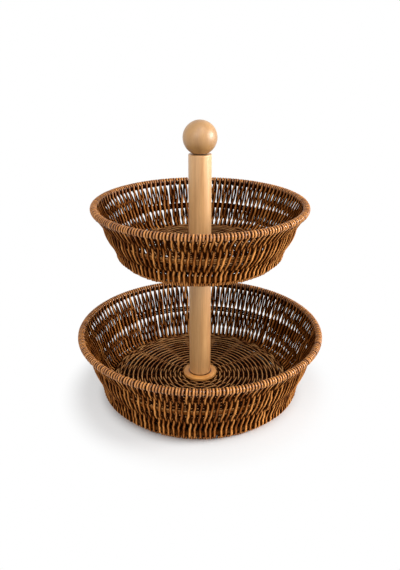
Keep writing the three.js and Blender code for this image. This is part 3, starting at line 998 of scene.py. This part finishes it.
def wood_grain_group():
    """Pale hardwood turned on a lathe: long fine grain, slow bands and short dark pores, with painted shade
    where pieces meet.
    """
    pale, deep, pore = POLE_COLOURS
    group, tree, entry, leave = new_group(
        "Turned hardwood",
        {"Pale": pale, "Deep": deep, "Pore": pore},
        {"Stretch": 0.05},
        ["Roughness", "Height"],
    )
    apart = tree.node("ShaderNodeSeparateXYZ")
    tree.link(tree.place(), apart.inputs[0])
    drawn_out = tree.math("MULTIPLY", apart.outputs[2], entry["Stretch"])
    drawn = tree.vector(apart.outputs[0], apart.outputs[1], drawn_out)
    bands = tree.noise(drawn, scale=110.0, detail=3.0, roughness=0.5)
    fine = tree.noise(drawn, scale=900.0, detail=4.0, roughness=0.6)
    pores = tree.noise(drawn, scale=1900.0, detail=2.0, roughness=0.5)
    grain = tree.math("ADD", tree.math("MULTIPLY", bands, 0.75), tree.math("MULTIPLY", fine, 0.3))
    colour = tree.mix(tree.remap(grain, 0.38, 0.68), entry["Pale"], entry["Deep"])
    pit = tree.remap(pores, 0.64, 0.74, top=0.5)
    colour = tree.mix(pit, colour, entry["Pore"])
    # painted shade where turned pieces meet and under the ball
    seam_shaded = tree.mix(1.0, colour, SEAM_SHADE_TINT, blend="MULTIPLY")
    tree.link(tree.mix(tree.attribute("seam"), colour, seam_shaded), leave["Color"])
    tree.link(tree.math("MULTIPLY_ADD", fine, 0.2, 0.36), leave["Roughness"])
    tree.link(tree.math("SUBTRACT", fine, pit), leave["Height"])
    return group


def hardwood(name, grain_group, colours, stretch, coat=1.0):
    """stretch is how short the grain is drawn, from 0 for endless to 1 for no grain."""
    material, tree, shader = new_material(name)
    pale, deep, pore = colours
    grain = tree.group(grain_group, Pale=pale, Deep=deep, Pore=pore, Stretch=stretch)
    tree.link(grain["Color"], shader.inputs["Base Color"])
    tree.link(grain["Roughness"], shader.inputs["Roughness"])
    tree.bump(shader, grain["Height"], strength=0.12, distance=0.0002)
    shader.inputs["Specular IOR Level"].default_value = 0.5
    shader.inputs["Coat Weight"].default_value = coat
    shader.inputs["Coat Roughness"].default_value = 0.45
    shader.inputs["Coat IOR"].default_value = 1.75
    return material


def metal(name, colour):
    """Turned metal, a little darker and rougher in patches."""
    material, tree, shader = new_material(name)
    scratch = tree.noise(tree.place(), scale=900, detail=6.0, roughness=0.7)
    darker = tuple(c * 0.82 for c in colour)
    tree.link(tree.mix(scratch, darker, colour), shader.inputs["Base Color"])
    tree.link(tree.math("MULTIPLY_ADD", scratch, 0.25, 0.25), shader.inputs["Roughness"])
    shader.inputs["Metallic"].default_value = 1.0
    return material


def fibre_board(name, dark, light):
    """Pressed fibre: matt and mottled."""
    material, tree, shader = new_material(name)
    mottle = tree.noise(tree.place(), scale=500, detail=5.0, roughness=0.7)
    tree.link(tree.mix(mottle, dark, light), shader.inputs["Base Color"])
    tree.link(tree.math("MULTIPLY_ADD", mottle, 0.2, 0.75), shader.inputs["Roughness"])
    tree.bump(shader, mottle, strength=0.4, distance=0.0002)
    return material


# The stage: pale table, white world, soft lamps and the camera


def seen_directly(tree):
    """1 for rays that see the background directly, in a reflection or through glass."""
    path = tree.node("ShaderNodeLightPath")
    seen = tree.math("ADD", path.outputs["Is Camera Ray"], path.outputs["Is Glossy Ray"], clamp=True)
    return tree.math("ADD", seen, path.outputs["Is Transmission Ray"], clamp=True)


def set_table():
    bpy.ops.mesh.primitive_plane_add(size=40, location=(0, 0, 0))
    floor = bpy.context.active_object
    floor.name = "studio_floor"
    material = bpy.data.materials.new("studio_floor")
    tree = empty_tree(material)
    diffuse = tree.node("ShaderNodeBsdfDiffuse")
    glow = tree.node("ShaderNodeEmission")
    glow.inputs["Color"].default_value = (1, 1, 1, 1)
    tree.link(seen_directly(tree), glow.inputs["Strength"])
    length = tree.node("ShaderNodeVectorMath", operation="LENGTH")
    tree.link(tree.place(), length.inputs[0])
    away = length.outputs["Value"]
    # painted shadow: the table's colour is dark under the basket, out to UNDER_BASKET
    outside_painted_shadow = tree.remap(away, UNDER_BASKET, CONTACT_START)
    tree.link(tree.mix(outside_painted_shadow, (TABLE_SHADED,) * 3, (TABLE_PALE,) * 3), diffuse.inputs["Color"])
    # painted light: a white glow round the basket, for direct rays, that lifts its shadow
    near = tree.remap(away, CONTACT_START, CONTACT_END, NEAR_GLOW, kind="SMOOTHSTEP")
    far = tree.remap(away, FADE_START, FADE_END, 1 - NEAR_GLOW, kind="SMOOTHSTEP")
    blend = tree.node("ShaderNodeMixShader")
    tree.link(tree.math("MULTIPLY", tree.math("ADD", near, far), seen_directly(tree)), blend.inputs[0])
    tree.link(diffuse.outputs[0], blend.inputs[1])
    tree.link(glow.outputs[0], blend.inputs[2])
    output = tree.node("ShaderNodeOutputMaterial")
    tree.link(blend.outputs[0], output.inputs["Surface"])
    floor.data.materials.append(material)


def set_world():
    """White where it is seen directly, and dimmer as a lamp."""
    world = bpy.data.worlds.new("studio")
    tree = empty_tree(world)
    backdrop = tree.node("ShaderNodeBackground")
    backdrop.inputs["Color"].default_value = (1, 1, 1, 1)
    strength = tree.math("MULTIPLY_ADD", seen_directly(tree), 1 - SKY_LIGHT, SKY_LIGHT)
    tree.link(strength, backdrop.inputs["Strength"])
    output = tree.node("ShaderNodeOutputWorld")
    tree.link(backdrop.outputs[0], output.inputs["Surface"])
    bpy.context.scene.world = world


def soft_lamp(name, place, target_height, size, power):
    """Rectangular lamp that shines at the pole's axis. Places and sizes are in metres."""
    lamp = bpy.data.lights.new(name, "AREA")
    lamp.shape = "RECTANGLE"
    lamp.size, lamp.size_y = size
    lamp.energy = power
    holder = bpy.data.objects.new(name, lamp)
    holder.location = place
    aim = Vector((0, 0, target_height)) - Vector(place)
    holder.rotation_euler = aim.to_track_quat("-Z", "Y").to_euler()
    bpy.context.scene.collection.objects.link(holder)


def set_lamps():
    soft_lamp("key_right", (1.4, -0.2, 0.62), 0.17, (0.6, 0.6), 25)
    soft_lamp("fill_front", (-0.7, -1.5, 1.05), 0.15, (1.0, 0.8), 8)
    soft_lamp("top_front", (0.15, -0.75, 1.4), 0.1, (1.1, 1.1), 8)


def set_camera():
    camera = bpy.data.cameras.new("photo_view")
    camera.lens = LENS_MM
    camera.sensor_width = 36
    camera.sensor_fit = "AUTO"
    camera.shift_y = SHIFT_Y
    holder = bpy.data.objects.new("photo_view", camera)
    holder.location = (0, -CAMERA_BACK, CAMERA_HEIGHT)
    holder.rotation_euler = (math.pi / 2 - CAMERA_TILT, 0, 0)
    bpy.context.scene.collection.objects.link(holder)
    bpy.context.scene.camera = holder


# Putting it together


def wicker_materials():
    skin = willow_skin_group()
    return {
        "strand": willow(
            "Stained willow strands", skin, (WARM_STAIN_AND_SHADE, BROWN, AMBER), (0.57, 0.42, 0.34), lacquer=1.0
        ),
        "rim": willow(
            "Honey willow winding",
            skin,
            (DARK_STAIN_AND_SHADE, RIM_BROWN, GOLDEN),
            (0.44, 0.4, 0.25),
            lacquer=1.0,
            sheen=1.65,
            softness=0.2,
        ),
        "rod": willow("Dark willow rods", skin, (DARK_STAIN_AND_SHADE, BROWN, TAN), (0.56, 0.5, 0.4)),
        "floor": willow(
            "Willow floor weavers", skin, (DARK_STAIN_AND_SHADE, BROWN, TAN), (0.8, 0.4, 0.36), lacquer=4.0
        ),
    }


def weave_tier(tier, wicker):
    """The woven pieces of one basket, each in place of its plain solids."""
    rng = random.Random(tier["seed"])
    name = tier["name"]
    base = tier["base"]
    _, high_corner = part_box(f"{name}_floor_border")
    tier["floor_edge"] = high_corner[0] / MM
    tier["floor_top"] = high_corner[2] / MM - base
    middle_nodes = [f"middle_rod_{i + 1}" for i in range(MIDDLE_RODS)]
    for weave, label, willow_kind, slot, nodes in (
        (strand_loops, "wall_strands", "strand", "wicker_strand", ["outer_strands", "inner_strands"]),
        (rim_winding, "rim_winding", "rim", "wicker_rim", ["rim_wrap"]),
        (rim_core, "rim_hoop", "rod", "wicker_rod", ["rim_core"]),
        (middle_hoops, "middle_hoops", "rod", "wicker_rod", middle_nodes),
        (foot_hoop, "foot_hoop", "rod", "wicker_rod", ["base_hoop"]),
        (floor_rows, "floor_rows", "floor", "wicker_floor", ["floor_weave"]),
        (floor_border, "floor_band", "floor", "wicker_floor", ["floor_border"]),
        (floor_spokes, "floor_star", "rod", "wicker_floor", ["floor_spokes"]),
    ):
        piece = weave(tier, rng).build(f"{name}_{label}", wicker[willow_kind], base)
        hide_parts(*[f"{name}_{node}" for node in nodes])
        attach(piece, "stand")


def add_discs(tier, disc_wood):
    """The disc on a basket's floor and the one under it."""
    name = tier["name"]
    top = tier["base"] + tier["floor_top"]
    for label, node, low in (
        ("seat_disc", "floor_disc", top + DISC_CLEARANCE),
        ("clamp_disc", "under_disc", top - FLOOR_THICKNESS - DISC_CLEARANCE - DISC_THICKNESS),
    ):
        disc = disc_piece(f"{name}_{label}", low, disc_wood)
        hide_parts(f"{name}_{node}")
        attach(disc, "stand")


def add_poles_and_ball(pole_wood, ball_wood):
    for name, node, (low, high), seams, seam_rings in (
        ("lower_dowel", "lower_pole", LOWER_POLE, LOWER_POLE[1:], ()),
        ("upper_dowel", "upper_pole", UPPER_POLE, (), (BALL_SHADE,)),
    ):
        dowel = pole_piece(name, low, high, pole_wood, seams, seam_rings)
        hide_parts(node)
        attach(dowel, "stand")

    ball = ball_piece("ball", ball_wood)
    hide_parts("finial_ball")
    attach(ball, "finial")


def finish_fasteners(nodes):
    """Materials for the small CAD pieces, which keep their own shapes."""
    brass = metal("Turned brass", (0.62, 0.45, 0.18))
    steel = metal("Zinc plated steel", (0.6, 0.61, 0.62))
    fibre = fibre_board("Dark fibre washer", (0.05, 0.03, 0.018), (0.12, 0.075, 0.045))
    for node in nodes.values():
        label = node.name
        if "insert" in label:
            finish = brass
        elif label == "finial_washer":
            finish = fibre
        elif "stud" in label or "screw" in label or "washer" in label:
            finish = steel
        else:
            continue
        for slot in node.material_slots:
            slot.material = finish


def main():
    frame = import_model()
    bpy.context.scene.view_settings.view_transform = "Standard"

    wicker = wicker_materials()
    grain = wood_grain_group()
    pole_wood = hardwood("Pale hardwood dowel", grain, POLE_COLOURS, stretch=0.04)
    disc_wood = hardwood("Hardwood disc", grain, DISC_COLOURS, stretch=1.0, coat=0.25)
    ball_wood = hardwood("Turned hardwood ball", grain, BALL_COLOURS, stretch=0.12, coat=0.6)
    for tier in (LOWER, UPPER):
        weave_tier(tier, wicker)
        add_discs(tier, disc_wood)
    add_poles_and_ball(pole_wood, ball_wood)
    finish_fasteners(frame["nodes"])

    set_table()
    set_world()
    set_lamps()
    set_camera()


main()
